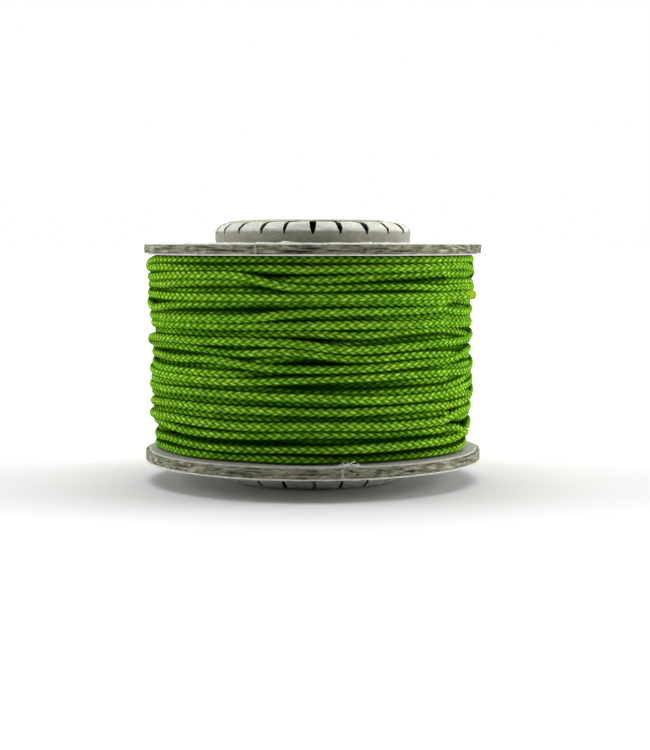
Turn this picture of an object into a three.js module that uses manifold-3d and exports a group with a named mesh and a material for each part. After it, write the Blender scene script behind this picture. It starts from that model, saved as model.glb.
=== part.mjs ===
// A greyboard spool wound with braided cord: two round laminated flanges on a paper tube whose
// wrap is notched and folded in at both ends, a plain round label over the folded top, and the cord.
// Millimetres, +Z up. The origin is the centre of the lower rim that the spool stands on.

import * as THREE from "three";
import { mergeVertices } from "three/addons/utils/BufferGeometryUtils.js";
import Module from "manifold-3d";

const wasm = await Module();
wasm.setup();

// Driving dimensions
const flangeRadius = 35;
const flangeThickness = 2.4;
const flangePaper = 0.3;
const innerPaperSetback = 0.8;
const windingWidth = 40.2;
const windingRadius = 32.6;
const tubeRadius = 20.15;
const wrapThickness = 0.8;
const linerThickness = 1.2;
const linerSetback = 3;
const crownHeight = 4.4;
const foldStart = 2.3;
const foldFlatRadius = 14.5;
const mouthRadius = 11.5;
const notchCount = 22;
const notchBase = 2.0;
const notchRootWidth = 0.5;
const notchTopWidth = 0.9;
const labelRadius = 16.2;
const labelThickness = 0.3;
const labelOffset = -1.4;
const glueLeg = 1.5;
const cordDiameter = 1.9;
const tailHeight = 39;
const tailLeaveDegrees = -38;
const tailWrapDegrees = 24;
const tailStraight = 9.2;
const clearance = 0.3;
const cutterOverrun = 1;

// Two facets to each notch, so that every notch is cut from the same facets
const ringSegments = notchCount * 2;
const foldSteps = 4;
const cordSides = 8;
const tailArcSteps = 4;
const tailSteps = 8;

// Heights of the stack
const bottomOuterFace = crownHeight;
const bottomInnerFace = bottomOuterFace + flangeThickness;
const topInnerFace = bottomInnerFace + windingWidth;
const topOuterFace = topInnerFace + flangeThickness;
const totalHeight = topOuterFace + crownHeight;

const greyboard = { color: 0x8f8a80, roughness: 0.92 };
const whitePaper = { color: 0xd9d7d2, roughness: 0.85 };
const kraft = { color: 0xa98a63, roughness: 0.9 };
const olivePaper = { color: 0x9a9470, roughness: 0.8 };
const driedGlue = { color: 0xe8dcc0, roughness: 0.4 };
const greenCord = { color: 0x6f9f1c, roughness: 0.75 };

const object = new THREE.Group();

function addPart(name, geometry, finish, height = 0) {
  const material = new THREE.MeshStandardMaterial({ ...finish, metalness: 0 });
  const mesh = new THREE.Mesh(geometry, material);
  mesh.name = name;
  mesh.position.z = height;
  object.add(mesh);
  return mesh;
}

// A ring or disc from its (radius, height) outline, turned about +Z
function turned(outline) {
  const closed = [...outline, outline[0]];
  const points = closed.map(([radius, height]) => new THREE.Vector2(radius, height));
  const geometry = new THREE.LatheGeometry(points, ringSegments);
  geometry.rotateX(Math.PI / 2);
  return geometry;
}

function flatRing(innerRadius, outerRadius, low, high) {
  return turned([
    [innerRadius, low],
    [outerRadius, low],
    [outerRadius, high],
    [innerRadius, high],
  ]);
}

// Booleans, on positions only
function toSolid(geometry) {
  const bare = geometry.clone();
  bare.deleteAttribute("normal");
  bare.deleteAttribute("uv");
  const merged = mergeVertices(bare);
  return new wasm.Manifold(
    new wasm.Mesh({
      numProp: 3,
      vertProperties: new Float32Array(merged.attributes.position.array),
      triVerts: new Uint32Array(merged.index.array),
    }),
  );
}

function toGeometry(solid) {
  const mesh = solid.getMesh();
  const geometry = new THREE.BufferGeometry();
  geometry.setAttribute("position", new THREE.BufferAttribute(mesh.vertProperties, 3));
  geometry.setIndex(new THREE.BufferAttribute(mesh.triVerts, 1));
  geometry.computeVertexNormals();
  return geometry;
}

// The wrap's fold is a quarter ellipse from the tube's side to the flat rim.
// The outline rises from the fold's start; height counts from the flange's outer face.
function foldCurve(sideRadius, thickness) {
  const points = [];
  for (let step = 0; step <= foldSteps; step += 1) {
    const angle = (step / foldSteps) * (Math.PI / 2);
    points.push([
      foldFlatRadius + (sideRadius - foldFlatRadius) * Math.cos(angle),
      foldStart + (crownHeight - thickness - foldStart) * Math.sin(angle),
    ]);
  }
  return points;
}

// Both ends of the wrap are the same, so the outline is one quarter and its mirror image
function wrapOutline() {
  const top = (points) => points.map(([radius, height]) => [radius, topOuterFace + height]);
  const bottom = (points) => points.map(([radius, height]) => [radius, bottomOuterFace - height]);
  const outside = [...foldCurve(tubeRadius, 0), [mouthRadius, crownHeight]];
  const inside = [
    [mouthRadius, crownHeight - wrapThickness],
    ...foldCurve(tubeRadius - wrapThickness, wrapThickness).reverse(),
  ];
  return [
    ...bottom([...outside].reverse()),
    ...top(outside),
    ...top(inside),
    ...bottom([...inside].reverse()),
  ];
}

// One V-shaped notch, as the wedge that it takes out of the upper end
function notchCutter(angle) {
  const wedge = new THREE.Shape();
  const above = crownHeight + cutterOverrun;
  const rise = (above - notchBase) / (crownHeight - notchBase);
  const aboveWidth = notchRootWidth + (notchTopWidth - notchRootWidth) * rise;
  wedge.moveTo(-notchRootWidth / 2, notchBase);
  wedge.lineTo(notchRootWidth / 2, notchBase);
  wedge.lineTo(aboveWidth / 2, above);
  wedge.lineTo(-aboveWidth / 2, above);
  wedge.closePath();
  const reach = tubeRadius - mouthRadius + 2 * cutterOverrun;
  const geometry = new THREE.ExtrudeGeometry(wedge, { depth: reach, bevelEnabled: false });
  geometry.rotateX(Math.PI / 2);
  geometry.translate(0, -(mouthRadius - cutterOverrun), 0);
  geometry.rotateZ(angle);
  return geometry;
}

function foldedWrap() {
  let solid = toSolid(turned(wrapOutline()));
  for (let notch = 0; notch < notchCount; notch += 1) {
    const angle = (notch / notchCount) * 2 * Math.PI;
    const upper = notchCutter(angle).translate(0, 0, topOuterFace);
    const lower = notchCutter(angle).rotateX(Math.PI).translate(0, 0, bottomOuterFace);
    solid = solid.subtract(toSolid(upper)).subtract(toSolid(lower));
  }
  return toGeometry(solid);
}

// The stiff inner tube stops short of where the wrap starts to fold, so that the tabs can bend
function linerTube() {
  const outer = tubeRadius - wrapThickness;
  const low = bottomOuterFace - foldStart + linerSetback;
  const high = topOuterFace + foldStart - linerSetback;
  return flatRing(outer - linerThickness, outer, low, high);
}

// Each flange is two greyboard plies between two papers
function addFlange(side, outerFace, direction) {
  const plyThickness = flangeThickness / 2 - flangePaper;
  const layers = [
    ["outer_paper", flangePaper, flangeRadius, whitePaper],
    ["outer_ply", plyThickness, flangeRadius, greyboard],
    ["inner_ply", plyThickness, flangeRadius, greyboard],
    ["inner_paper", flangePaper, flangeRadius - innerPaperSetback, whitePaper],
  ];
  let face = outerFace;
  for (const [layer, thickness, radius, finish] of layers) {
    const next = face + direction * thickness;
    const ring = flatRing(tubeRadius, radius, Math.min(face, next), Math.max(face, next));
    addPart(`${side}_flange_${layer}`, ring, finish);
    face = next;
  }
}

// A fillet of glue in the corner between the tube and a flange's inner face
function glueBead(face, direction) {
  const outline = [
    [tubeRadius, face],
    [tubeRadius + glueLeg, face],
    [tubeRadius, face + direction * glueLeg],
  ];
  return turned(direction > 0 ? outline : [...outline].reverse());
}

// The outer shape of the wound cord, clear of the glue in its inner corners
function windingRing() {
  const low = bottomInnerFace;
  const high = topInnerFace;
  const corner = glueLeg + clearance;
  return turned([
    [tubeRadius + corner, low],
    [windingRadius, low],
    [windingRadius, high],
    [tubeRadius + corner, high],
    [tubeRadius, high - corner],
    [tubeRadius, low + corner],
  ]);
}

// The cord's free end leaves the winding along a tangent at the front right, and is nearly straight
function cordTail() {
  const leave = THREE.MathUtils.degToRad(tailLeaveDegrees);
  const start = leave - THREE.MathUtils.degToRad(tailWrapDegrees);
  const centreRadius = windingRadius + clearance + cordDiameter / 2;
  const points = [];
  for (let step = 0; step <= tailArcSteps; step += 1) {
    const angle = THREE.MathUtils.lerp(start, leave, step / tailArcSteps);
    const x = centreRadius * Math.cos(angle);
    const y = centreRadius * Math.sin(angle);
    points.push(new THREE.Vector3(x, y, tailHeight));
  }
  const last = points[points.length - 1];
  const along = new THREE.Vector3(-Math.sin(leave), Math.cos(leave), 0);
  points.push(last.clone().addScaledVector(along, tailStraight / 2));
  points.push(last.clone().addScaledVector(along, tailStraight));
  const section = new THREE.Shape();
  section.absarc(0, 0, cordDiameter / 2, 0, 2 * Math.PI);
  return new THREE.ExtrudeGeometry(section, {
    steps: tailSteps,
    curveSegments: cordSides,
    extrudePath: new THREE.CatmullRomCurve3(points),
    bevelEnabled: false,
  });
}

addFlange("top", topOuterFace, -1);
addFlange("bottom", bottomOuterFace, 1);
addPart("core_tube_wrap", foldedWrap(), greyboard);
addPart("core_tube_liner", linerTube(), kraft);
addPart("top_glue_bead", glueBead(topInnerFace, -1), driedGlue);
addPart("bottom_glue_bead", glueBead(bottomInnerFace, 1), driedGlue);
addPart("cord_winding", windingRing(), greenCord);
addPart("cord_tail", cordTail(), greenCord);

const label = new THREE.CylinderGeometry(labelRadius, labelRadius, labelThickness, ringSegments);
label.rotateX(Math.PI / 2);
const topLabel = addPart("top_label", label, olivePaper, totalHeight + labelThickness / 2);
topLabel.position.x = labelOffset;

export default object;
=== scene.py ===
"""A greyboard spool wound with green braided cord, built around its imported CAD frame. Lengths in metres."""
import math

import bpy
import numpy as np
from mathutils import Matrix, Vector


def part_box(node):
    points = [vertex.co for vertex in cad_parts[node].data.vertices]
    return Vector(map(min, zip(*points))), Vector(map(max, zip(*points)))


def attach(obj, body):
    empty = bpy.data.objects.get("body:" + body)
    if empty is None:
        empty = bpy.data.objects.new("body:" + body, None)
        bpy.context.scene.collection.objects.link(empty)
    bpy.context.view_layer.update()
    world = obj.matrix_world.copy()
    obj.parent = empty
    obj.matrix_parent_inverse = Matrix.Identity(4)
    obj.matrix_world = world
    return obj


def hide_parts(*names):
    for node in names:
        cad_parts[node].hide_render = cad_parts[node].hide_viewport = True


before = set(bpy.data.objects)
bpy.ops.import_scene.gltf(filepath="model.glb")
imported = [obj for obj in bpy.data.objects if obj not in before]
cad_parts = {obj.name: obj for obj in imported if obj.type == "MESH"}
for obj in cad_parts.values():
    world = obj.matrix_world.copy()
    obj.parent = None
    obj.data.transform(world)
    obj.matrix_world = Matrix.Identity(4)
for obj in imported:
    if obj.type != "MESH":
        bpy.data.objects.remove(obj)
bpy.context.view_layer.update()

MM = 0.001
TURN = 2 * math.pi
FRONT = -math.pi / 2

# Sizes taken from the frame
bottom_outer_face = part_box("bottom_flange_outer_paper")[0].z
bottom_inner_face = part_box("bottom_flange_inner_paper")[1].z
top_inner_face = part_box("top_flange_inner_paper")[0].z
top_outer_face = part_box("top_flange_outer_paper")[1].z
label_low, label_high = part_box("top_label")
glue_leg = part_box("bottom_glue_bead")[1].z - bottom_inner_face
tube_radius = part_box("bottom_glue_bead")[1].x - glue_leg

# ---- camera

camera_distance = 338 * MM
camera_lens = 77.4
camera_pitch = math.radians(4.68)
camera_yaw = math.radians(0.43)


def new_object(name, data):
    made = bpy.data.objects.new(name, data)
    bpy.context.scene.collection.objects.link(made)
    return made


def add_camera():
    data = bpy.data.cameras.new("camera")
    data.lens = camera_lens
    data.sensor_width = 36
    data.clip_start = 0.01
    camera = new_object("camera", data)
    camera.location = (0, -camera_distance, top_outer_face)
    camera.rotation_euler = (math.pi / 2 - camera_pitch, 0, -camera_yaw)
    bpy.context.scene.camera = camera


add_camera()

# ---- mesh tools


def make_mesh(name, vertices, quads, ends=()):
    """A piece from its vertices, its four-sided faces and any many-sided end faces."""
    mesh = bpy.data.meshes.new(name)
    loops = np.concatenate([quads.ravel(), *ends]).astype(np.int32)
    sizes = np.concatenate([np.full(len(quads), 4), [len(e) for e in ends]]).astype(np.int32)
    mesh.vertices.add(len(vertices))
    mesh.vertices.foreach_set("co", np.asarray(vertices, np.float32).ravel())
    mesh.loops.add(len(loops))
    mesh.loops.foreach_set("vertex_index", loops)
    mesh.polygons.add(len(sizes))
    mesh.polygons.foreach_set("loop_start", np.concatenate([[0], np.cumsum(sizes)[:-1]]).astype(np.int32))
    mesh.polygons.foreach_set("use_smooth", np.ones(len(sizes), bool))
    mesh.update(calc_edges=True)
    return new_object(name, mesh)


def smooth(values, spread):
    """values under a moving bell-shaped average, with the ends held."""
    reach = int(4 * spread) + 1
    bell = np.exp(-0.5 * (np.arange(-reach, reach + 1) / spread) ** 2)
    return np.convolve(np.pad(values, reach, mode="edge"), bell / bell.sum(), "valid")


def eased(values, start, end):
    """0 before start, 1 after end, and a smooth rise between them."""
    share = np.clip((values - start) / (end - start), 0, 1)
    return share * share * (3 - 2 * share)


def wander(rng, count, spread):
    """A slow random line of unit size."""
    reach = int(4 * spread) + 1
    line = smooth(rng.normal(0, 1, count + 2 * reach), spread)[reach:-reach]
    return line / line.std()


def round_noise(rng, rows, segments, coarsest, finest, fall=0.5):
    """Rows of random waves of unit size that meet themselves after a whole turn."""
    waves = np.arange(segments // 2 + 1)
    strength = np.where((waves >= coarsest) & (waves <= finest), np.maximum(waves, 1.0) ** -fall, 0)
    spectrum = strength * (rng.normal(size=(rows, len(waves))) + 1j * rng.normal(size=(rows, len(waves))))
    values = np.fft.irfft(spectrum, segments, axis=1)
    return values / values.std()


# ---- the cord's route

cord_radius = 0.95 * MM
soft_radius = 0.99 * cord_radius
lowest_turn = bottom_inner_face + cord_radius
highest_turn = top_inner_face - cord_radius
steps_per_turn = 180
outer_turns = 47

# How the winder's guide travels
full_traverses = 10
short_stops = 1
stop_short = 3.0 * MM
pitch_range = (2.9 * MM, 3.2 * MM)
last_pitch = 2.9 * MM
jump_from = 40.5 * MM
jump_turns = 0.6
top_turns = 1.25
last_turns = 2.4
unevenness = 0.25 * MM
unevenness_steps = 110

# How a turn settles: what slipping, bending and standing proud cost it, against lying a millimetre lower
most_slip = 1.6 * MM
slip_cost = 0.12
bend_cost = 25.0
proud_cost = 2.5
barred_cost = 1e3

# The radius at which the winding is tight, its bulge, and how much of its height a turn keeps beyond that
tight_radius = 31.9 * MM
lopsided = 0.55 * MM
give = 0.5

# Each turn is smoothed together with this many steps of the turn before
joined_steps = 40

# The winding's surface is kept as a radius for each step round the tube and each cell along it
cell = 0.1 * MM
cells = int(round((top_inner_face - bottom_inner_face) / cell))

# The free end, as in the CAD: it leaves a circle of this radius at the front right, along a tangent
tail_height = (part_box("cord_tail")[0].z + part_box("cord_tail")[1].z) / 2
tail_circle = 33.85 * MM
tail_leave = math.radians(-38)
tail_straight = 9.2 * MM

# Where the outer turns stray: whole turns before the end, degrees right of the front, rise, spread in degrees
strays = [
    (2, 62, 1.8 * MM, 14),
    (5, -70, -2.4 * MM, 14),
    (7, 66, 2.4 * MM, 16),
    (9, 4, -2.2 * MM, 26),
    (10, 160, 2.6 * MM, 25),
    (13, -130, -2.6 * MM, 22),
]


def cell_of(heights):
    """The surface's cell at each height."""
    return np.clip(((heights - bottom_inner_face) / cell - 0.5).round().astype(int), 0, cells - 1)


def cord_rise(away):
    """How far the cord's skin stands out from its centreline, at a distance to the side of it."""
    return np.sqrt(np.maximum(soft_radius**2 - away**2, 0))


def tight_radii():
    """The radius at which the cord starts to press into the turns below, for each step of a turn.

    The winding bulges a little on its left side.
    """
    angle = tail_leave + (np.arange(steps_per_turn) + 1) * TURN / steps_per_turn
    return tight_radius - lopsided * np.cos(angle)


def guide_line(rng):
    """Where the winder's guide holds the cord along the tube's axis, step by step, to and fro.

    The last visit to the lower flange stops short of it. The last traverse jumps to the top flange, a turn
    lies under that flange, and the last few come back down from it to the free end.
    """
    pairs = full_traverses // 2
    stops = [highest_turn, lowest_turn] * (pairs - short_stops)
    stops += [highest_turn, lowest_turn + stop_short] * short_stops + [jump_from]
    line = []
    height = lowest_turn
    for stop in stops:
        pitch = last_pitch if stop == jump_from else rng.uniform(*pitch_range)
        steps = int(abs(stop - height) / pitch * steps_per_turn)
        line.append(np.linspace(height, stop, steps, endpoint=False))
        height = stop
    steps = int(jump_turns * steps_per_turn)
    line.append(height + (highest_turn - height) * eased(np.arange(steps), 0, steps))
    line.append(np.full(int(top_turns * steps_per_turn), highest_turn))
    steps = int(last_turns * steps_per_turn)
    line.append(np.linspace(highest_turn, tail_height, steps))
    line = np.concatenate(line)
    line = line[len(line) % steps_per_turn :]
    left = np.arange(len(line))[::-1] / steps_per_turn
    held = (left > last_turns) & (left < last_turns + top_turns)
    line = line + unevenness * wander(rng, len(line), unevenness_steps) * eased(left, 0.1, 1.5) * ~held
    for turns, degrees, rise, spread in strays:
        place = turns + (math.degrees(tail_leave - FRONT) - degrees) / 360
        line += rise * np.exp(-(((left - place) * 360 / spread) ** 2))
    return np.clip(line, lowest_turn, highest_turn)


def pulled_tight(radii):
    """A cord under tension spans the hollows in straight lines between the humps it lies on."""
    step = TURN / steps_per_turn
    for _ in range(6):
        for reach in (16, 8, 4, 2, 1):
            middle = np.zeros_like(radii)
            middle[reach:-reach] = 0.5 * (radii[: -2 * reach] + radii[2 * reach :]) * math.cos(reach * step)
            radii = np.maximum(radii, middle)
    return smooth(radii, 2)


def settle(surface, guide, last):
    """The heights of one turn, as it slips off the guide's line into the hollows below it."""
    reach = int(soft_radius / cell)
    rest = np.zeros_like(surface)
    padded = np.pad(surface, ((0, 0), (reach, reach)))
    for k in range(2 * reach + 1):
        rest = np.maximum(rest, padded[:, k : k + cells] + cord_rise((k - reach) * cell))
    steps = int(most_slip / cell)
    shifts = np.arange(-steps, steps + 1) * cell
    places = guide[:, None] + shifts
    rows = np.arange(steps_per_turn)
    lying = rest[rows[:, None], cell_of(places)] / MM
    proud = np.maximum(lying - tight_radii()[:, None] / MM, 0)
    cost = lying + proud_cost * proud**2 + slip_cost * (shifts / MM) ** 2
    cost[(places < lowest_turn - 1e-6) | (places > highest_turn + 1e-6)] = barred_cost
    bend = bend_cost * (np.subtract.outer(shifts, shifts) / MM) ** 2
    if last is not None:
        cost[0] += bend_cost * ((places[0] - last) / MM) ** 2
    best, came_from = cost.copy(), np.zeros(cost.shape, int)
    every = np.arange(len(shifts))
    for i in rows[1:]:
        step_cost = best[i - 1][None, :] + bend
        came_from[i] = step_cost.argmin(1)
        best[i] = cost[i] + step_cost[every, came_from[i]]
    path = np.empty(steps_per_turn, int)
    path[-1] = best[-1].argmin()
    for i in rows[:0:-1]:
        path[i - 1] = came_from[i][path[i]]
    return guide + shifts[path]


def wind_cord(rng):
    """The wound cord's radius and height at each step, laid turn on turn, and the surface that it leaves."""
    heights = bottom_inner_face + cell * (np.arange(cells) + 0.5)
    surface = np.full((steps_per_turn, cells), tube_radius)
    guide = guide_line(rng)
    cord_turns = len(guide) // steps_per_turn
    radius = np.empty_like(guide)
    height = np.empty_like(guide)
    rows = np.arange(steps_per_turn)[:, None]
    to_tail = eased(np.arange(steps_per_turn), 0.5 * steps_per_turn, steps_per_turn - 15)
    for turn in range(cord_turns):
        now = slice(turn * steps_per_turn, (turn + 1) * steps_per_turn)
        first = now.start
        laid = settle(surface, guide[now], height[first - 1] if turn else None)
        if turn == cord_turns - 1:
            laid += (tail_height - laid) * to_tail
        lead = height[first - joined_steps : first] if turn else np.full(joined_steps, laid[0])
        laid = np.clip(smooth(np.concatenate([lead, laid]), 3)[joined_steps:], lowest_turn, highest_turn)
        reach = np.arange(-int(soft_radius / cell), int(soft_radius / cell) + 1) * cell
        column = cell_of(laid[:, None] + reach)
        rest = (surface[rows, column] + cord_rise(heights[column] - laid[:, None])).max(1)
        lead = radius[first - joined_steps : first] if turn else np.full(joined_steps, rest[0])
        rest = pulled_tight(np.concatenate([lead, rest, rest[:joined_steps]]))[joined_steps:-joined_steps]
        proud = np.maximum(rest - tight_radii(), 0)
        rest = rest - (1 - give) * proud
        radius[now], height[now] = rest, laid
        away = heights[None, :] - laid[:, None]
        top = np.where(np.abs(away) < soft_radius, rest[:, None] + cord_rise(away), 0)
        surface = np.maximum(surface, top)
    return radius, height, surface


def cord_route(rng):
    """The whole cord's points, the winding and then the straight free end, and the winding's surface."""
    radius, height, surface = wind_cord(rng)
    count = len(radius)
    angle = tail_leave + (np.arange(count) - count + 1) * TURN / steps_per_turn
    wound = np.stack([radius * np.cos(angle), radius * np.sin(angle), height], 1)
    straight = math.atan2(tail_straight, tail_circle)
    tip_radius = math.hypot(tail_circle, tail_straight)
    tip_angle = tail_leave + straight
    tip = np.array([tip_radius * math.cos(tip_angle), tip_radius * math.sin(tip_angle), tail_height])
    leave = tip_angle - math.acos(radius[-1] / tip_radius)
    wound = wound[angle < leave]
    steps = int(np.linalg.norm(tip - wound[-1]) / MM)
    free = wound[-1] + (tip - wound[-1]) * (np.arange(1, steps + 1) / steps)[:, None]
    return np.vstack([wound, free]), surface


def lid_over(surface):
    """A smooth skin over the winding, from its outermost turn within about a cord's radius of each place."""
    reach = int(cord_radius / cell)
    padded = np.pad(surface, ((0, 0), (reach, reach)), mode="edge")
    lid = np.max([padded[:, k : k + cells] for k in range(2 * reach + 1)], axis=0)
    return np.stack([smooth(row, 8) for row in lid])


def depth_under(lid, points):
    """How far below that skin each point lies."""
    place = (np.arctan2(points[..., 1], points[..., 0]) - tail_leave) / TURN * steps_per_turn - 1
    row = np.floor(place).astype(int)
    share = place - row
    column = cell_of(points[..., 2])
    over = (1 - share) * lid[row % steps_per_turn, column] + share * lid[(row + 1) % steps_per_turn, column]
    return over - np.hypot(points[..., 0], points[..., 1])


def distances(points):
    """How far along the line each point is."""
    return np.concatenate([[0], np.cumsum(np.linalg.norm(np.diff(points, axis=0), axis=1))])


def resampled(points, along, start, end, spacing):
    """The line between two distances, at an even spacing, with the joints between its steps smoothed."""
    margin = 12
    count = int(round((end - start) / spacing)) + 1
    distance = start + (end - start) * np.arange(-margin, count + margin) / (count - 1)
    line = np.stack([np.interp(distance, along, points[:, k]) for k in range(3)], 1)
    over = np.maximum(distance - along[-1], 0)
    line += over[:, None] * (points[-1] - points[-2]) / np.linalg.norm(points[-1] - points[-2])
    line = np.stack([smooth(line[:, k], 2.5) for k in range(3)], 1)
    return distance[margin:-margin], line[margin:-margin]


def frames(points):
    """At each point of a route, the way out from the spool's axis and the way across, both square to it."""
    way = np.gradient(points, axis=0)
    way /= np.linalg.norm(way, axis=1)[:, None]
    out = points * (1, 1, 0)
    out /= np.linalg.norm(out, axis=1)[:, None]
    out -= (out * way).sum(1)[:, None] * way
    out /= np.linalg.norm(out, axis=1)[:, None]
    return out, np.cross(way, out)


def tube_mesh(name, points, sides, radii):
    """A closed tube round the points. sides are its angles round the route, 0 pointing out from the spool."""
    out, across = frames(points)
    ring = np.cos(sides)[None, :, None] * out[:, None, :] + np.sin(sides)[None, :, None] * across[:, None, :]
    vertices = points[:, None, :] + radii[:, :, None] * ring
    rings, count = len(points), len(sides)
    base = np.arange(rings - 1)[:, None] * count
    side = np.arange(count)[None, :]
    after = (side + 1) % count
    quads = np.stack([base + side, base + after, base + count + after, base + count + side], 2)
    ends = (np.arange(count)[::-1], (rings - 1) * count + np.arange(count))
    return make_mesh(name, vertices.reshape(-1, 3), quads.reshape(-1, 4), ends)


# ---- the cord's braid

strands_each_way = 8
strand_spacing = 1.74 * MM

# The relief comes from each strand's roundness and from its rise over the others, which leans to one side
strand_round, strand_lift, strand_lean = 0.20, 0.14, 0.5

# Shares of the cord's radius: the braid's crevices and leaves, the plain tube alone and inside the braid,
# and the sealed tip, which keeps a little of its braid
deepest, highest = 0.82, 1.04
bare_share, core_share = 0.95, 0.62
sealed_share, melted = 0.93, 0.85
core_sides = 7
cover_count = 14
cover_spacing = 0.18 * MM
sealed_length = 3.0 * MM
tip_rounding = 0.15 * MM

# Painted shade between the turns: the depth at which it is darkest, and how much a turn's own roundness adds
# to depth
deepest_shade = 2.6 * MM
side_shade = 1.3
outward_sides = np.radians(np.concatenate([np.linspace(-110, 110, 22), [150, 210]]))


def braid(distance, around):
    """The braid's relief and shade. Strands wind both ways round the cord, over two and under two."""
    turns = strands_each_way * around / TURN
    forward = distance[:, None] / strand_spacing + turns
    backward = distance[:, None] / strand_spacing - turns

    def strand(own, other, top):
        mine = np.round(own)
        rounded = np.sqrt(np.maximum(1 - (2 * (own - mine)) ** 2, 0))
        reach = other - mine - top + strand_lean * (own - mine)
        return strand_round * rounded + strand_lift * np.cos(math.pi / 2 * reach)

    one, two = strand(forward, backward, -0.5), strand(backward, forward, 2.5)
    relief = np.maximum(one, two) / (strand_round + strand_lift)
    which = np.where(one > two, np.round(forward), 0.5 + np.round(backward)) % strands_each_way
    shade = 0.5 + 0.1 * np.sin(7.0 * which)
    return np.clip(relief, 0, 1), shade


def vertex_places(piece):
    places = np.empty(len(piece.data.vertices) * 3, np.float32)
    piece.data.vertices.foreach_get("co", places)
    return places.reshape(-1, 3)


def paint(piece, name, values):
    """A colour attribute for the materials to read, one colour for each vertex."""
    colours = np.ones((len(piece.data.vertices), 4), np.float32)
    colours[:, :3] = values
    layer = piece.data.color_attributes.new(name, "FLOAT_COLOR", "POINT")
    layer.data.foreach_set("color", colours.ravel())


def braided_cover(name, points, along, start, end, drift, lid):
    """One length of the cord's braided surface. The last length ends in the sealed tip.

    drift says how the braid twists, stretches and thickens along the cord.
    """
    distance, line = resampled(points, along, start, end, cover_spacing)
    twist, stretch, thickness = (np.interp(distance, along, values) for values in drift)
    around = outward_sides[None, :] + twist[:, None]
    relief, shade = braid(distance + stretch, around)
    to_tip = along[-1] - distance
    sealed = eased(to_tip, sealed_length, 0.6 * sealed_length)[:, None]
    closing = np.sqrt(np.clip(1 - (1 - np.clip(to_tip / tip_rounding, 0, 1)) ** 2, 0.0, 1))[:, None]
    share = deepest + (highest - deepest) * relief
    share = share + (sealed_share - share) * melted * sealed
    rounding = 1 - tip_rounding / cord_radius * (1 - closing)
    piece = tube_mesh(name, line, outward_sides, cord_radius * share * thickness[:, None] * rounding)
    sealed = np.broadcast_to(sealed, relief.shape)
    paint(piece, "braid", np.stack([relief, shade, sealed], 2).reshape(-1, 3))
    # Painted shade: darker the deeper a place lies under the winding's skin, and down each turn's own sides
    own_side = cord_radius * (1 - np.cos(outward_sides))
    depth = depth_under(lid, vertex_places(piece)) + side_shade * np.tile(own_side, len(line))
    paint(piece, "painted_turn_shade", np.repeat(np.clip(depth / deepest_shade, 0, 1)[:, None], 3, 1))
    return piece


def plain_core(points, along, covered_from):
    """The whole cord as one plain tube, which grows thinner just before the braided lengths that cover it."""
    points = np.vstack([points[:-1:2], points[-1]])
    sides = np.arange(core_sides) * TURN / core_sides
    steps = np.arange(len(points)) / (len(points) - 1) * (len(along) - 1)
    at = np.interp(steps, np.arange(len(along)), along)
    share = bare_share + (core_share - bare_share) * eased(at, covered_from - 0.2, covered_from - 0.1)
    return tube_mesh("cord", points, sides, np.repeat(cord_radius * share[:, None], len(sides), 1))


# ---- materials


def put(tree, kind, settings=None, **joined):
    """Adds a shader node. Each input is set to a value, or joined to another node's output."""
    node = tree.nodes.new(kind)
    for name, value in (settings or {}).items():
        setattr(node, name, value)
    for name, value in joined.items():
        socket = node.inputs[int(name[1:])] if name[1:].isdigit() else node.inputs[name.replace("_", " ")]
        if isinstance(value, bpy.types.NodeSocket):
            tree.links.new(value, socket)
        else:
            socket.default_value = value
    return node


def math_node(tree, operation, first, second):
    return put(tree, "ShaderNodeMath", {"operation": operation}, i0=first, i1=second).outputs[0]


def blended(tree, first, share, second):
    """That share of the first value and the rest of the second."""
    rest = math_node(tree, "MULTIPLY", second, 1 - share)
    return math_node(tree, "ADD", math_node(tree, "MULTIPLY", first, share), rest)


def attribute(tree, name):
    return put(tree, "ShaderNodeAttribute", {"attribute_name": name}).outputs


def painted(tree, name):
    """The three values that paint() put into a colour attribute."""
    return put(tree, "ShaderNodeSeparateColor", Color=attribute(tree, name)["Color"]).outputs[:]


def noise(tree, place, scale, stretch=(1, 1, 1), detail=4.0, roughness=0.55):
    """Noise of about unit range over the object. scale is in features per metre."""
    mapped = put(tree, "ShaderNodeMapping", Vector=place, Scale=tuple(scale * s for s in stretch))
    texture = put(tree, "ShaderNodeTexNoise", Vector=mapped.outputs[0], Scale=1.0, Detail=detail,
                  Roughness=roughness)
    return texture.outputs["Fac"]


def ramp(tree, factor, stops):
    node = put(tree, "ShaderNodeValToRGB", Fac=factor)
    elements = node.color_ramp.elements
    while len(elements) < len(stops):
        elements.new(0.5)
    for element, (position, colour) in zip(elements, stops):
        element.position = position
        element.color = (*colour, 1)
    return node.outputs["Color"]


def mixed(tree, factor, first, second, blend="MIX"):
    node = put(tree, "ShaderNodeMix", {"data_type": "RGBA", "blend_type": blend}, i0=factor)
    for socket, value in ((node.inputs[6], first), (node.inputs[7], second)):
        if isinstance(value, bpy.types.NodeSocket):
            tree.links.new(value, socket)
        else:
            socket.default_value = (*value, 1)
    return node.outputs[2]


def toned(tree, colour, factor, stops):
    """The colour multiplied by a ramp."""
    return mixed(tree, 1.0, colour, ramp(tree, factor, stops), "MULTIPLY")


def greys(*stops):
    """A grey ramp's stops, from places and brightnesses."""
    return [(position, (brightness, brightness, brightness)) for position, brightness in stops]


def principled(name, roughness, specular):
    material = bpy.data.materials.new(name)
    material.use_nodes = True
    shader = material.node_tree.nodes["Principled BSDF"]
    shader.inputs["Roughness"].default_value = roughness
    shader.inputs["Specular IOR Level"].default_value = specular
    place = put(material.node_tree, "ShaderNodeTexCoord").outputs["Object"]
    return material, material.node_tree, shader, place


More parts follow.
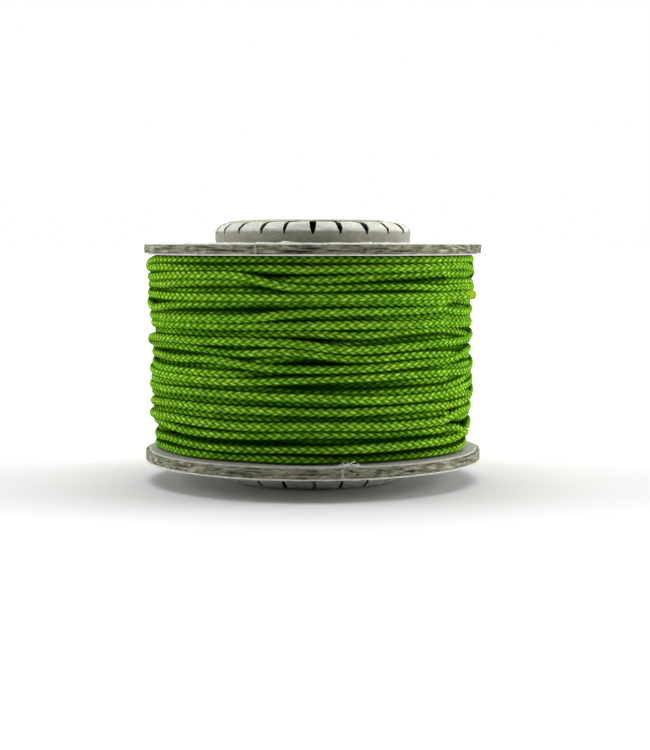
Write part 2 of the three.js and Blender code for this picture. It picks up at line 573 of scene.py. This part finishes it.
def finish_surface(tree, shader, colour, height, relief, roughness=None):
    """Joins a colour, a bump with its relief in metres and, if it is given, a roughness to the shader."""
    tree.links.new(colour, shader.inputs["Base Color"])
    bump = put(tree, "ShaderNodeBump", Height=height, Strength=1.0, Distance=relief)
    tree.links.new(bump.outputs[0], shader.inputs["Normal"])
    if roughness is not None:
        tree.links.new(roughness, shader.inputs["Roughness"])


def greyboard():
    """Layered board with streaks along its layers, and painted shade in the pits where the knife pulled
    fibres out.
    """
    material, tree, shader, place = principled("greyboard", 0.9, 0.2)
    layers = noise(tree, place, 330, (1, 1, 6), 4.0, 0.6)
    streaks = noise(tree, place, 560, (1, 1, 4.5), 4.0, 0.62)
    cloud = noise(tree, place, 60, (1, 1, 1), 2.0)
    base = ramp(tree, layers, [(0.33, (0.10, 0.10, 0.065)), (0.47, (0.22, 0.215, 0.155)),
                               (0.6, (0.33, 0.325, 0.25)), (0.74, (0.5, 0.49, 0.39))])
    colour = toned(tree, base, streaks, [(0.34, (0.16, 0.16, 0.13)), (0.43, (0.72, 0.72, 0.68)),
                                         (0.56, (1.05, 1.05, 1.02)), (0.7, (1.55, 1.55, 1.48))])
    colour = toned(tree, colour, cloud, [(0.3, (0.82, 0.82, 0.80)), (0.7, (1.12, 1.12, 1.12))])
    # Painted shade in the rim's gouges, and the pale nick across the ply
    dark, pale = painted(tree, "gouge_shade_and_nick")[:2]
    colour = mixed(tree, math_node(tree, "MULTIPLY", dark, 0.85), colour, (0.03, 0.03, 0.02))
    colour = mixed(tree, math_node(tree, "MULTIPLY", pale, 0.6), colour, (0.62, 0.61, 0.5))
    finish_surface(tree, shader, colour, blended(tree, layers, 0.5, streaks), 0.16 * MM)
    return material


def tube_board():
    """The wrap's board: grey, with painted light making its folds paler beyond the crease, and painted shade
    on its inner face, inside and in its cuts.
    """
    material, tree, shader, place = principled("tube_board", 0.8, 0.25)
    pulp = noise(tree, place, 260, (1, 1, 1.5), 5.0, 0.6)
    specks = noise(tree, place, 1800, (1, 1, 1.5), 3.0, 0.65)
    base = ramp(tree, pulp, [(0.3, (0.27, 0.265, 0.215)), (0.7, (0.36, 0.355, 0.295))])
    pale = ramp(tree, pulp, [(0.3, (0.50, 0.495, 0.43)), (0.7, (0.66, 0.655, 0.585))])
    painted_lit_fold, inside = painted(tree, "painted_lit_fold")[:2]
    colour = mixed(tree, painted_lit_fold, base, pale)
    colour = toned(tree, colour, specks, [(0.3, (0.78, 0.78, 0.77)), *greys((0.5, 1), (0.7, 1.1))])
    # Painted shade on the wrap's inner face, which shows inside the tube and in the cuts
    painted_inner_shade = put(tree, "ShaderNodeMapRange", Value=inside, From_Min=0.02, From_Max=0.25).outputs[0]
    colour = mixed(tree, painted_inner_shade, colour, (0.035, 0.034, 0.028))
    finish_surface(tree, shader, colour, specks, 0.05 * MM)
    return material


def kraft_board():
    """Brown recycled board: mottled pulp with pale and dark fibres, drawn out along its layers."""
    material, tree, shader, place = principled("kraft_board", 0.9, 0.2)
    pulp = noise(tree, place, 350, (1, 1, 2), 6.0, 0.62)
    fibres = noise(tree, place, 1500, (1, 1, 2), 3.0, 0.7)
    cloud = noise(tree, place, 60, (1, 1, 1), 2.0)
    colour = ramp(tree, pulp, [(0.3, (0.24, 0.15, 0.08)), (0.5, (0.36, 0.25, 0.14)),
                               (0.72, (0.46, 0.34, 0.21))])
    colour = toned(tree, colour, fibres, greys((0.3, 0.45), (0.5, 1), (0.72, 1.25)))
    colour = toned(tree, colour, cloud, [(0.3, (0.85, 0.85, 0.84)), (0.7, (1.1, 1.1, 1.1))])
    uneven = put(tree, "ShaderNodeMapRange", Value=fibres, To_Min=0.78, To_Max=0.98)
    finish_surface(tree, shader, colour, blended(tree, pulp, 0.6, fibres), 0.12 * MM, uneven.outputs[0])
    return material


def flange_paper():
    """Grey lining paper, whiter where its cut edge has torn open."""
    material, tree, shader, place = principled("flange_paper", 0.75, 0.3)
    fine = noise(tree, place, 900, detail=5.0, roughness=0.65)
    cloud = noise(tree, place, 90, detail=3.0)
    base = ramp(tree, cloud, [(0.3, (0.36, 0.37, 0.31)), (0.7, (0.45, 0.46, 0.40))])
    colour = toned(tree, base, fine, greys((0.34, 0.72), (0.5, 1), (0.7, 1.12)))
    torn = math_node(tree, "MULTIPLY", attribute(tree, "worn")["Fac"], math_node(tree, "ADD", fine, 0.45))
    colour = mixed(tree, torn, colour, (0.88, 0.88, 0.80))
    finish_surface(tree, shader, colour, fine, 0.05 * MM)
    return material


def label_paper():
    material, tree, shader, place = principled("label_paper", 0.7, 0.3)
    fine = noise(tree, place, 1200, (1, 1.8, 1), 5.0, 0.6)
    cloud = noise(tree, place, 70, detail=3.0)
    base = ramp(tree, cloud, [(0.3, (0.33, 0.335, 0.20)), (0.7, (0.40, 0.40, 0.25))])
    colour = toned(tree, base, fine, [(0.35, (0.82, 0.82, 0.8)), *greys((0.5, 1), (0.68, 1.1))])
    finish_surface(tree, shader, colour, fine, 0.03 * MM)
    return material


def dried_glue():
    material, tree, shader, place = principled("dried_glue", 0.35, 0.5)
    blotches = noise(tree, place, 500, detail=4.0)
    colour = ramp(tree, blotches, [(0.3, (0.55, 0.44, 0.26)), (0.7, (0.78, 0.70, 0.52))])
    finish_surface(tree, shader, colour, blotches, 0.1 * MM)
    return material


def braided_cord():
    """Green polyester with a faint sheen, lime where sealed; painted shade in its crevices and between the
    turns, painted highlights on its leaves.
    """
    material, tree, shader, place = principled("braided_cord", 0.8, 0.0)
    relief, shade, sealed = painted(tree, "braid")
    fibres = noise(tree, place, 2600, detail=3.0, roughness=0.7)
    leaves = noise(tree, place, 520, detail=1.0)
    cloud = noise(tree, place, 45, detail=2.0)
    # Painted shade in the braid's crevices and painted highlights on the tops of its leaves
    colour = ramp(tree, relief, [(0.33, (0.0004, 0.014, 0.0005)), (0.51, (0.056, 0.21, 0.005)),
                                 (0.8, (0.155, 0.38, 0.014)), (1.0, (0.41, 0.67, 0.085))])
    colour = toned(tree, colour, shade, [(0.3, (0.8, 0.84, 0.8)), (0.7, (1.16, 1.12, 1.15))])
    colour = toned(tree, colour, fibres, [(0.3, (0.72, 0.76, 0.7)), (0.7, (1.25, 1.2, 1.3))])
    colour = toned(tree, colour, leaves, [(0.35, (0.72, 0.8, 0.7)), (0.65, (1.22, 1.14, 1.25))])
    colour = toned(tree, colour, cloud, [(0.35, (0.9, 0.95, 0.9)), (0.65, (1.1, 1.04, 1.05))])
    colour = mixed(tree, sealed, colour, (0.28, 0.42, 0.02))
    # Painted shade between the turns
    colour = toned(tree, colour, attribute(tree, "painted_turn_shade")["Fac"], [
        (0.1, (1, 1, 1)), (0.2, (0.6, 0.7, 0.52)), (0.34, (0.17, 0.29, 0.13)), (0.6, (0.02, 0.12, 0.02))])
    for name, value in (("Weight", 0.14), ("Roughness", 0.4), ("Tint", (0.4, 0.62, 0.02, 1))):
        shader.inputs["Sheen " + name].default_value = value
    smoother = put(tree, "ShaderNodeMapRange", Value=sealed, To_Min=0.8, To_Max=0.4)
    finish_surface(tree, shader, colour, fibres, 0.03 * MM, smoother.outputs[0])
    return material


# ---- the cord's pieces


def finish_piece(piece, material, slot, *nodes):
    piece.data.materials.append(material)
    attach(piece, "root")
    if nodes:
        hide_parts(*nodes)


def add_cord():
    rng = np.random.default_rng(5)
    points, surface = cord_route(rng)
    along = distances(points)
    lid = lid_over(surface)
    twist = 0.5 * wander(rng, len(points), 400)
    stretch = 1.2 * MM * wander(rng, len(points), 90)
    thickness = 1 + 0.02 * wander(rng, len(points), 60)
    covered_from = along[-outer_turns * steps_per_turn]
    cord = plain_core(points, along, covered_from)
    cuts = np.linspace(covered_from, along[-1], cover_count + 1)
    drift = (twist, stretch, thickness)
    covers = [
        braided_cover(f"cord_braid_{k + 1}", points, along, cuts[k], cuts[k + 1], drift, lid)
        for k in range(cover_count)
    ]
    material = braided_cord()
    for cover in covers:
        finish_piece(cover, material, "cord")
    finish_piece(cord, material, "cord", "cord_winding", "cord_tail")


add_cord()

# ---- the flanges

ring_segments = 1080
rng = np.random.default_rng(11)


def turned_mesh(name, outline, segments, reshape=None, solid_disc=False):
    """A ring from its closed (radius, height) outline, or a disc whose outline's ends are near the axis."""
    outline = np.asarray(outline, float)
    angle = np.arange(segments)[None, :] * TURN / segments + np.zeros((len(outline), 1))
    radius = np.repeat(outline[:, :1], segments, 1)
    height = np.repeat(outline[:, 1:], segments, 1)
    if reshape:
        radius, height = reshape(angle, radius, height)
    vertices = np.stack([radius * np.cos(angle), radius * np.sin(angle), height], 2).reshape(-1, 3)
    count = len(outline)
    lines = np.arange(count - 1 if solid_disc else count)[:, None]
    spokes = np.arange(segments)[None, :]
    after, above = (spokes + 1) % segments, (lines + 1) % count
    quads = np.stack([lines * segments + spokes, lines * segments + after,
                      above * segments + after, above * segments + spokes], 2).reshape(-1, 4)
    ends = ()
    if solid_disc:
        ends = (np.arange(segments)[::-1], (count - 1) * segments + np.arange(segments))
    piece = make_mesh(name, vertices, quads, ends)
    piece.data.set_sharp_from_angle(angle=math.radians(50))
    return piece


def ring_outline(inner, outer, low, high, rows, rounding=0.05 * MM):
    """A flat ring's section, close-set towards its rim, which has the given number of rows."""
    steps = np.array([6, 3, 1.5, 0.8, 0.4, 0.2]) * MM
    faces = np.concatenate([[inner], outer - steps, [outer - rounding]])
    rim = np.linspace(low + rounding, high - rounding, rows)
    return [(r, low) for r in faces] + [(outer, z) for z in rim] + [(r, high) for r in faces[::-1]]


def streaked_rim(rows, streak=0.05 * MM):
    """How far the rows of a die-cut board rim stand out: short streaks along the board's layers."""
    long_marks = round_noise(rng, rows, ring_segments, 8, 60, 0.3)
    short_marks = round_noise(rng, rows, ring_segments, 60, 400, 0.2)
    for k in range(1, rows):
        long_marks[k] = 0.5 * long_marks[k - 1] + 0.85 * long_marks[k]
    return streak * (long_marks + 0.6 * short_marks - 0.8)


# Gouges in each flange's rim: degrees right of the front, height share, half length in degrees, depth in mm
top_gouges = [
    (-62, 0.50, 5.0, 0.22), (-36, 0.70, 3.0, 0.25), (-31, 0.42, 5.0, 0.32), (-24, 0.30, 2.5, 0.25),
    (-5, 0.30, 4.5, 0.40), (-1, 0.62, 3.0, 0.22), (9, 0.35, 5.0, 0.28), (20, 0.55, 4.0, 0.20),
    (29, 0.30, 4.0, 0.26), (47, 0.60, 3.0, 0.22), (58, 0.42, 3.0, 0.26),
]
bottom_gouges = [
    (-48, 0.55, 4.0, 0.20), (-24, 0.40, 5.0, 0.22), (-2, 0.50, 3.5, 0.25), (12, 0.80, 0.5, 0.35),
    (14, 0.45, 0.5, 0.30), (22, 0.72, 1.8, 0.34), (34, 0.45, 4.0, 0.22), (62, 0.60, 5.0, 0.30),
]

# A gouge's breadth as a share of the board, the depth at which its painted shade is darkest, and a nick's
# half width
gouge_breadth = 0.085
darkest_gouge_shade = 0.28 * MM
nick_breadth = 0.35
top_nick = -18.2
bottom_nick = 9.3
ply_rows = 9

# Where the rims' lining papers stand up: degrees right of the front, half width in degrees, height
top_bumps = [(-8.5, 1.8, 0.30 * MM), (-84, 1.5, 0.35 * MM), (40, 1.0, 0.12 * MM)]
torn_place = 12.0
bottom_bumps = [(torn_place, 1.6, 0.25 * MM)]
torn_fibre_count = 14

# A lining paper's cut edge: the width that lifts, how far it waves, and how far it frays
lifting_width = 0.7 * MM
paper_wave = 0.015 * MM
paper_fray = 0.05 * MM


def degrees_right(angle):
    """Angles counted from the front towards +X, from -180 to 180."""
    return (np.degrees(angle - FRONT) + 180) % 360 - 180


def gouged(gouges, right, share):
    """How deep the gouges are at each place on a flange's rim."""
    depth = np.zeros(np.broadcast(right, share).shape)
    for degrees, level, half, deepest_mark in gouges:
        along = ((right - degrees) / half) ** 4
        depth += deepest_mark * MM * np.exp(-along - ((share - level) / gouge_breadth) ** 2)
    return depth


def add_ply(side, layer, material, gouges, nick):
    """One greyboard ply, rough and gouged round its rim, with painted shade in its gouges and a pale nick
    across it.
    """
    node = f"{side}_flange_{layer}_ply"
    low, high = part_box(node)
    outline = ring_outline(tube_radius, high.x, low.z, high.z, ply_rows)
    first = next(k for k, point in enumerate(outline) if point[0] == high.x)
    plies = [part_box(f"{side}_flange_{name}_ply") for name in ("outer", "inner")]
    bottom = min(box[0].z for box in plies)
    top = max(box[1].z for box in plies)

    def reshape(angle, radius, height):
        radius[first : first + ply_rows] += streaked_rim(ply_rows)
        rim = radius > high.x - 0.5 * MM
        depth = gouged(gouges, degrees_right(angle), (height - bottom) / (top - bottom))
        return radius - np.where(rim, depth, 0), height

    piece = turned_mesh(node, outline, ring_segments, reshape)
    places = vertex_places(piece)
    right = degrees_right(np.arctan2(places[:, 1], places[:, 0]))
    # Painted shade in the gouges, darkest where they are deepest
    dark = np.clip(gouged(gouges, right, (places[:, 2] - bottom) / (top - bottom)) / darkest_gouge_shade, 0, 1)
    pale = np.exp(-(((right - nick) / nick_breadth) ** 2))
    paint(piece, "gouge_shade_and_nick", np.stack([dark, pale, 0 * dark], 1))
    finish_piece(piece, material, "greyboard", node)


def paint_worn(piece, outer, width, amount):
    """Marks how near each point is to the paper's cut edge."""
    points = vertex_places(piece)
    worn = amount * eased(np.hypot(points[:, 0], points[:, 1]), outer - width, outer - 0.1 * width)
    paint(piece, "worn", np.repeat(worn[:, None], 3, 1))


def add_paper(side, layer, material, burr, worn_width, worn_amount, bumps=()):
    """One lining paper, whose cut edge is worn pale and stands up by about burr, more at the bumps."""
    node = f"{side}_flange_{layer}_paper"
    low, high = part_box(node)
    outline = ring_outline(tube_radius, high.x, low.z, high.z, 3)
    outward = 1 if (side == "top") == (layer == "outer") else -1
    free_face = high.z if outward > 0 else low.z
    fray = round_noise(rng, 1, ring_segments, 20, 500, 0.3)[0]
    lift = np.maximum(0.6 + 0.5 * round_noise(rng, 1, ring_segments, 6, 300, 0.6)[0], 0)
    wave = round_noise(rng, 1, ring_segments, 2, 14, 0.8)[0]

    def reshape(angle, radius, height):
        right = degrees_right(angle)
        near_edge = eased(radius, high.x - lifting_width, high.x)
        rise = burr * lift[None, :] + 0 * height
        for degrees, half, tall in bumps:
            rise += tall * np.exp(-(((right - degrees) / half) ** 2))
        free = np.abs(height - free_face) < 0.12 * MM
        height = height + outward * np.where(free, near_edge * rise + paper_wave * wave[None, :], 0)
        radius = radius + np.where(radius > high.x - 0.1 * MM, paper_fray * fray[None, :], 0)
        return radius, height

    piece = turned_mesh(node, outline, ring_segments, reshape)
    paint_worn(piece, high.x, worn_width, worn_amount)
    finish_piece(piece, material, "flange_paper", node)


def add_torn_fibres(material):
    """A tuft of paper fibres that curl up out of the lower flange's rim, where its paper is torn."""
    base_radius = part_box("bottom_flange_inner_paper")[1].x - 0.15 * MM
    pieces = []
    for _ in range(torn_fibre_count):
        start = math.radians(torn_place + rng.uniform(-2.2, 2.2)) + FRONT
        reach, lean, curl = rng.uniform(1.0, 2.4) * MM, rng.uniform(-1.3, 1.3), rng.uniform(-3.5, 3.5)
        along = np.linspace(0, 1, 14)
        bend = lean + curl * along
        sideways = np.cumsum(np.sin(bend)) / len(along) * reach
        upward = np.cumsum(np.abs(np.cos(bend)) * (1 - 0.75 * along)) / len(along) * reach
        outward = 0.5 * MM * np.sin(math.pi * along) * rng.uniform(0.2, 1)
        radius = base_radius + outward
        angle = start + sideways / base_radius
        points = np.stack([radius * np.cos(angle), radius * np.sin(angle), bottom_inner_face + upward], 1)
        thickness = rng.uniform(0.05, 0.11) * MM * (1 - 0.5 * along[:, None])
        sides = np.arange(6) * TURN / 6
        pieces.append(tube_mesh("torn_fibres", points, sides, np.repeat(thickness, len(sides), 1)))
    bpy.ops.object.select_all(action="DESELECT")
    for piece in pieces:
        piece.select_set(True)
    bpy.context.view_layer.objects.active = pieces[0]
    bpy.ops.object.join()
    paint(pieces[0], "worn", np.ones((len(pieces[0].data.vertices), 3)))
    finish_piece(pieces[0], material, "flange_paper")


def add_flanges():
    board_material, paper_material = greyboard(), flange_paper()
    for layer in ("outer", "inner"):
        add_ply("top", layer, board_material, top_gouges, top_nick)
        add_ply("bottom", layer, board_material, bottom_gouges, bottom_nick)
    add_paper("top", "outer", paper_material, 0.10 * MM, 0.45 * MM, 1.0, top_bumps)
    add_paper("top", "inner", paper_material, 0.02 * MM, 0.3 * MM, 1.0)
    add_paper("bottom", "inner", paper_material, 0.03 * MM, 0.2 * MM, 0.3, bottom_bumps)
    add_paper("bottom", "outer", paper_material, 0.05 * MM, 0.3 * MM, 0.5)
    add_torn_fibres(paper_material)


add_flanges()


# ---- the core and the label

crease = 2.3 * MM
mouth_radius = 11.5 * MM
notch_count = 22
wrap_thickness = 0.7 * MM
tab_steps = 10
liner_thickness = 1.2 * MM
seam_pitch = 26 * MM
seam_depth = 0.25 * MM

# How far the tabs lift and tilt, at least and at most, in mm
tab_lift, tab_tilt = (-0.03, 0.05), (-0.03, 0.03)

# The folded wrap's outline beyond a flange: radius and height above the flange's face, up to the mouth
fold_outline = np.array([
    (20.15, 0.0), (20.26, 0.9), (20.3, 1.75), (20.32, 2.2), (20.3, 2.5), (20.2, 2.76), (19.98, 3.02),
    (19.65, 3.29), (19.27, 3.58), (18.87, 3.84), (18.35, 4.02), (17.5, 4.14), (16.4, 4.23), (14.5, 4.32),
    (13, 4.38), (11.5, 4.4),
]) * MM

# The outline's points where a notch begins, where its tip ends, and where it is fully open
floor_row, point_row, open_row = 2, 6, 10

# The label: its gap to the tabs, and where its edge droops, in degrees right of the front, with the spread
label_gap = 0.07 * MM
droop_place, droop_spread = -42, 22

# The front notches of the top: degrees right of the front, width at the root, width at the label
front_notches = [
    (-85.7, 0.9, 1.0), (-75.5, 1.1, 1.4), (-61.8, 0.9, 0.9), (-46.8, 0.8, 1.05), (-30.2, 0.75, 1.1),
    (-16.1, 0.65, 0.85), (0.0, 1.0, 1.4), (15.6, 0.95, 1.15), (31.9, 1.15, 1.5), (48.0, 0.8, 1.0),
    (65.0, 1.3, 1.6), (79.5, 0.9, 1.1),
]


def notches(front):
    """Every notch of one end, as its angle and two widths: the given ones, and random ones between them."""
    known = np.array(front, float).reshape(-1, 3)
    spacing = 360 / notch_count
    first, last = (known[0, 0] + 360, known[-1, 0]) if len(known) else (360.0, 0.0)
    missing = notch_count - len(known)
    skipped = 1 if len(known) else 0
    places = last + (first - last) * (np.arange(missing) + skipped) / (missing + skipped)
    places = places + rng.uniform(-1, 1, missing) * 0.06 * spacing
    root = rng.uniform(0.35, 0.8, missing)
    drawn = np.stack([places, root, root * rng.uniform(0.9, 1.6, missing)], 1)
    both = np.vstack([known, drawn])
    both = both[np.argsort(both[:, 0] % 360)]
    return np.radians(both[:, 0] % 360) + FRONT, both[:, 1] * MM, both[:, 2] * MM


def wrap_rows(ends):
    """Row by row up the wrap: radius, height, the way out of its surface, and the notches' half angles."""
    rows = []
    for sign, face, (places, root, top) in ends:
        radius, rise = fold_outline.T
        slope = np.gradient(fold_outline, axis=0)
        slope /= np.linalg.norm(slope, axis=1)[:, None]
        run = distances(np.column_stack([fold_outline, np.zeros(len(fold_outline))]))
        open_share = np.clip((run - run[floor_row]) / (run[open_row] - run[floor_row]), 0, 1)
        taper = 0.3 + 0.7 * eased(run, run[floor_row] - 0.1 * MM, run[point_row])
        part = []
        for k in range(len(radius)):
            width = (root + (top - root) * open_share[k]) * taper[k]
            part.append((radius[k], face + sign * rise[k], slope[k, 1], -sign * slope[k, 0], places,
                         width / 2 / radius[k], run[k] / run[-1]))
        rows.append(part)
    lower, upper = rows
    return lower[::-1] + upper, len(lower)


def add_wrap():
    """The core tube's wrap, notched and folded in at both ends, with tabs that lie a little unevenly."""
    top, bottom = notches(front_notches), notches([])
    rows, lower_count = wrap_rows([(-1, bottom_outer_face, bottom), (1, top_outer_face, top)])
    row_count = len(rows)
    columns_each = tab_steps + 1
    columns = notch_count * columns_each
    lifts = rng.uniform(*tab_lift, (2, notch_count)) * MM
    tilts = rng.uniform(*tab_tilt, (2, notch_count)) * MM
    dents = 0.035 * MM * round_noise(rng, row_count, columns, 3, 60, 0.6)
    share = np.linspace(0, 1, columns_each)
    vertices = np.empty((2, row_count, columns, 3))
    for row, (radius, height, out, up, places, half, run) in enumerate(rows):
        end = 0 if row < lower_count else 1
        sign = (-1, 1)[end]
        start = places + half
        finish = np.roll(places, -1) - np.roll(half, -1)
        finish[-1] += TURN
        angle = (start[:, None] + (finish - start)[:, None] * share).ravel()
        free = eased(np.array(run), 0.25, 1.0)
        lift = sign * free * (lifts[end][:, None] + tilts[end][:, None] * (2 * share - 1)).ravel()
        for face, depth in ((0, 0.0), (1, wrap_thickness)):
            r = radius - depth * out + dents[row] * out
            z = np.maximum(height - depth * up + dents[row] * up + lift, 0)
            vertices[face, row] = np.stack([r * np.cos(angle), r * np.sin(angle), z + 0 * r], 1)
    index = np.arange(2 * row_count * columns).reshape(2, row_count, columns)
    outer, inner = index
    low_floor, high_floor = lower_count - 1 - floor_row, lower_count + floor_row
    quads = []
    for c in range(columns):
        d = (c + 1) % columns
        is_notch = c % columns_each == tab_steps
        first, last = (low_floor, high_floor) if is_notch else (0, row_count - 1)
        for r in range(first, last):
            quads.append((outer[r, c], outer[r, d], outer[r + 1, d], outer[r + 1, c]))
            quads.append((inner[r, c], inner[r + 1, c], inner[r + 1, d], inner[r, d]))
        quads.append((outer[last, c], outer[last, d], inner[last, d], inner[last, c]))
        quads.append((inner[first, c], inner[first, d], outer[first, d], outer[first, c]))
        if is_notch:
            for r in [*range(first), *range(last, row_count - 1)]:
                quads.append((outer[r, c], inner[r, c], inner[r + 1, c], outer[r + 1, c]))
                quads.append((outer[r + 1, d], inner[r + 1, d], inner[r, d], outer[r, d]))
    piece = make_mesh("core_tube_wrap", vertices.reshape(-1, 3), np.array(quads))
    piece.data.set_sharp_from_angle(angle=math.radians(35))
    places = vertex_places(piece)
    # Painted light: the wrap beyond the crease, at both ends, is painted paler; its inner face is marked for
    # painted shade
    beyond = np.maximum(places[:, 2] - top_outer_face, bottom_outer_face - places[:, 2])
    painted_lit_fold = eased(beyond, crease - 0.15 * MM, crease + 0.25 * MM)
    inside = np.repeat([0.0, 1.0], row_count * columns)
    paint(piece, "painted_lit_fold", np.stack([painted_lit_fold, inside, 0 * inside], 1))
    finish_piece(piece, tube_board(), "tube_board", "core_tube_wrap")


def add_liner():
    """The stiff inner tube, with the spiral seam of the strip that it is wound from."""
    low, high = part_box("core_tube_liner")
    inner = high.x - liner_thickness
    outline = [(inner, low.z), (high.x, low.z), (high.x, high.z)]
    outline += [(inner, z) for z in np.linspace(high.z, low.z, 90)[:-1]]

    def reshape(angle, radius, height):
        seam = (angle / TURN + height / seam_pitch) % 1
        groove = np.exp(-((np.minimum(seam, 1 - seam) / 0.012) ** 2))
        return radius + np.where(radius < inner + 0.1 * MM, seam_depth * groove, 0), height

    piece = turned_mesh("core_tube_liner", outline, 360, reshape)
    finish_piece(piece, kraft_board(), "kraft", "core_tube_liner")


def add_glue(side, face, direction, material):
    """A fillet of glue in the corner of the tube and a flange, thicker in some places than in others."""
    steps = np.linspace(0, 1, 7)
    hollow = 1 - 0.25 * np.sin(math.pi * steps)
    outline = [(tube_radius, face)]
    outline += [
        (tube_radius + glue_leg * (1 - step) * share, face + direction * glue_leg * step * share)
        for step, share in zip(steps, hollow)
    ]
    if direction < 0:
        outline = outline[::-1]
    amount = 0.85 + 0.12 * np.clip(round_noise(rng, 1, 360, 2, 40, 0.5)[0], -2, 1.2)

    def reshape(angle, radius, height):
        return tube_radius + (radius - tube_radius) * amount, face + (height - face) * amount

    name = f"{side}_glue_bead"
    finish_piece(turned_mesh(name, outline, 360, reshape), material, "dried_glue", name)


def add_label():
    """The round label, which lies over the folded tabs and bends down with them round its edge."""
    centre = (label_low.x + label_high.x) / 2
    radius = (label_high.x - label_low.x) / 2
    thickness = label_high.z - label_low.z
    rings = np.concatenate([[0.3], np.arange(1.5, 12, 1.5), np.linspace(12, radius / MM - 0.1, 14)]) * MM
    outline = [(r, 0.0) for r in rings] + [(radius, 0.3 * thickness), (radius, 0.7 * thickness)]
    outline += [(r, thickness) for r in rings[::-1]]
    heights, radii = fold_outline[:, 1], fold_outline[:, 0]
    ripple = round_noise(rng, 1, 720, 2, 30, 0.9)[0]
    ragged = round_noise(rng, 1, 720, 8, 300, 0.4)[0]

    def reshape(angle, r, height):
        edge = eased(r, 0.75 * radius, radius)
        r = r + np.where(r > radius - 0.05 * MM, 0.03 * MM * ragged, 0)
        from_axis = np.hypot(centre + r * np.cos(angle), r * np.sin(angle))
        lying = np.interp(from_axis, radii[::-1], heights[::-1])
        droop = np.exp(-((degrees_right(angle) - droop_place) / droop_spread) ** 2)
        lift = (0.05 * np.abs(ripple) - 0.16 - 0.14 * droop) * MM * edge
        sag = 0.15 * MM * (1 - eased(from_axis, 0.3 * mouth_radius, mouth_radius))
        return r, top_outer_face + lying + label_gap + lift - sag + height

    piece = turned_mesh("top_label", outline, 720, reshape, solid_disc=True)
    piece.data.transform(Matrix.Translation((centre, 0, 0)))
    finish_piece(piece, label_paper(), "label_paper", "top_label")


add_wrap()
add_liner()
glue = dried_glue()
add_glue("top", top_inner_face, -1, glue)
add_glue("bottom", bottom_inner_face, 1, glue)
add_label()

# ---- stage


def add_floor():
    """A wide white floor with a painted shadow that makes it darker near the spool."""
    bpy.ops.mesh.primitive_plane_add(size=40)
    floor = bpy.context.object
    floor.name = "floor"
    material, tree, shader, place = principled("floor", 1.0, 0.0)
    # Painted shadow round the spool: the floor is darker near it and whiter farther off
    away = put(tree, "ShaderNodeVectorMath", {"operation": "LENGTH"}, i0=place).outputs["Value"]
    reach = put(tree, "ShaderNodeMapRange", Value=away, From_Min=0.05, From_Max=0.6).outputs[0]
    tree.links.new(ramp(tree, reach, greys((0.0, 0.69), (1.0, 0.91))), shader.inputs["Base Color"])
    floor.data.materials.append(material)


def add_sun(name, azimuth, elevation, strength, softness):
    """A very soft far light. azimuth is counted in degrees from the front towards +X."""
    data = bpy.data.lights.new(name, "SUN")
    data.energy = strength
    data.angle = math.radians(softness)
    turn, rise = math.radians(azimuth), math.radians(elevation)
    source = Vector((math.sin(turn) * math.cos(rise), -math.cos(turn) * math.cos(rise), math.sin(rise)))
    new_object(name, data).rotation_euler = source.to_track_quat("Z", "Y").to_euler()


def add_world():
    """Studio walls: bright behind and beside the spool, dark in front of it, and plain white to look at."""
    world = bpy.data.worlds.new("world")
    bpy.context.scene.world = world
    world.use_nodes = True
    tree = world.node_tree
    direction = put(tree, "ShaderNodeTexCoord").outputs["Generated"]
    split = put(tree, "ShaderNodeSeparateXYZ", Vector=direction)
    walls = put(tree, "ShaderNodeMapRange", {"interpolation_type": "SMOOTHSTEP"}, Value=split.outputs["Y"],
                From_Min=-0.3, From_Max=0.45, To_Min=0.02, To_Max=0.95)
    seen = put(tree, "ShaderNodeLightPath").outputs["Is Camera Ray"]
    strength = put(tree, "ShaderNodeMix", i0=seen, i2=walls.outputs[0], i3=1.0)
    background = tree.nodes["Background"]
    background.inputs["Color"].default_value = (1, 1, 1, 1)
    tree.links.new(strength.outputs[0], background.inputs["Strength"])


add_floor()
add_sun("left_light", -95, 12, 2.45, 45)
add_sun("right_light", 97, 12, 3.6, 45)
add_sun("top_light", 180, 84, 2.15, 60)
add_world()
bpy.context.scene.view_settings.view_transform = "Standard"
